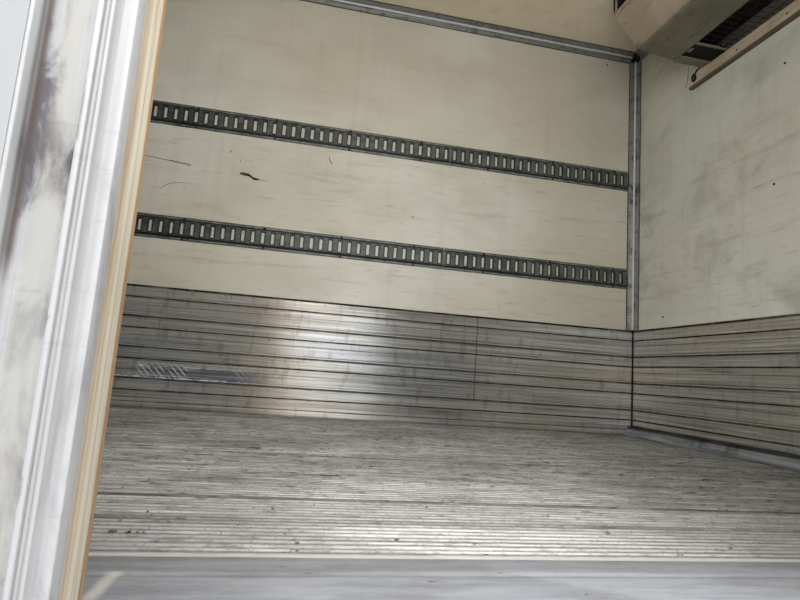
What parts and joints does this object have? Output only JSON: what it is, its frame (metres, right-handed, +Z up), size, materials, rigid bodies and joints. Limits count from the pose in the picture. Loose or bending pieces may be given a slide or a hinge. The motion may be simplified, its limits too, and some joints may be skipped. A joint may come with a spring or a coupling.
{
  "type": "insulated truck cargo box",
  "caption": "Insulated delivery truck body with a side door folded forward, swing rear doors, plank-lined load space, slotted cargo tracks and a through-wall refrigeration unit.",
  "frame": {"origin": "centre of the four body mount holes, on the centreline at the underside of the sills", "axes": "+X forward along the box, +Y to the left wall, +Z up"},
  "size_m": [4.903, 2.789, 2.752],
  "materials": {
    "white_panel": "semi-gloss white laminate skin",
    "inner_lining": "aged cream laminate lining, smudged",
    "aluminium": "mill finish extrusion, scratched",
    "scuff_aluminium": "brushed plank lining, scuffed",
    "floor_aluminium": "ribbed floor plate, dirty",
    "track_paint": "dark slate green paint",
    "black_steel": "black painted steel",
    "galvanised": "galvanised hardware",
    "jamb_wood": "bare plywood edge, worn",
    "batten_wood": "painted softwood, worn",
    "seal_rubber": "black door seal",
    "unit_shell": "off-white moulded shell",
    "coil_metal": "dark finned coil",
    "guard_wire": "dark wire guard",
    "lamp_lens": "amber and red lenses"
  },
  "bodies": {
    "cargo_box": {"left_wall": "white_panel", "right_wall": "white_panel", "roof_panel": "white_panel", "front_wall": "white_panel", "bottom_rails": "aluminium", "top_rails": "aluminium", "front_corner_posts": "aluminium", "rear_posts": "aluminium", "rear_header": "aluminium", "rear_sill": "aluminium", "side_door_frame": "aluminium", "threshold_plate": "aluminium", "ceiling_trims": "aluminium", "corner_trims": "aluminium", "base_flashing": "aluminium", "left_scuff_liner": "scuff_aluminium", "right_scuff_liners": "scuff_aluminium", "front_scuff_liner": "scuff_aluminium", "ribbed_floor": "floor_aluminium", "floor_panel": "inner_lining", "left_lower_track": "track_paint", "left_upper_track": "track_paint", "right_lower_track": "track_paint", "right_upper_track": "track_paint", "long_sills": "black_steel", "crossmembers": "black_steel", "side_hinge_brackets": "galvanised", "rear_hinge_brackets": "galvanised", "lock_keepers": "galvanised", "side_jamb_liner": "jamb_wood", "bulkhead_batten": "batten_wood", "evaporator_housing": "unit_shell", "evaporator_strips": "unit_shell", "condenser_housing": "unit_shell", "evaporator_coil": "coil_metal", "return_air_guard": "guard_wire", "condenser_grille": "guard_wire", "marker_lamps": "lamp_lens"},
    "side_door": {"side_door_leaf": "white_panel", "side_door_gasket": "seal_rubber", "side_door_hinges": "galvanised", "side_door_lock": "galvanised"},
    "rear_left_door": {"rear_left_door_leaf": "white_panel", "rear_left_door_gasket": "seal_rubber", "rear_left_door_hinges": "galvanised", "rear_left_door_lock": "galvanised"},
    "rear_right_door": {"rear_right_door_leaf": "white_panel", "rear_right_door_gasket": "seal_rubber", "rear_right_door_hinges": "galvanised", "rear_right_door_lock": "galvanised"}
  },
  "joints": [
    {"name": "side_door_hinge", "type": "hinge", "parent": "cargo_box", "child": "side_door", "pos_m": [1.036, -1.333, 1.345], "axis": [0, 0, 1], "range_deg": [-180, 0]},
    {"name": "rear_left_door_hinge", "type": "hinge", "parent": "cargo_box", "child": "rear_left_door", "pos_m": [-2.239, 1.329, 1.454], "axis": [0, 0, 1], "range_deg": [-270, 0]},
    {"name": "rear_right_door_hinge", "type": "hinge", "parent": "cargo_box", "child": "rear_right_door", "pos_m": [-2.239, -1.329, 1.454], "axis": [0, 0, 1], "range_deg": [0, 270]}
  ]
}
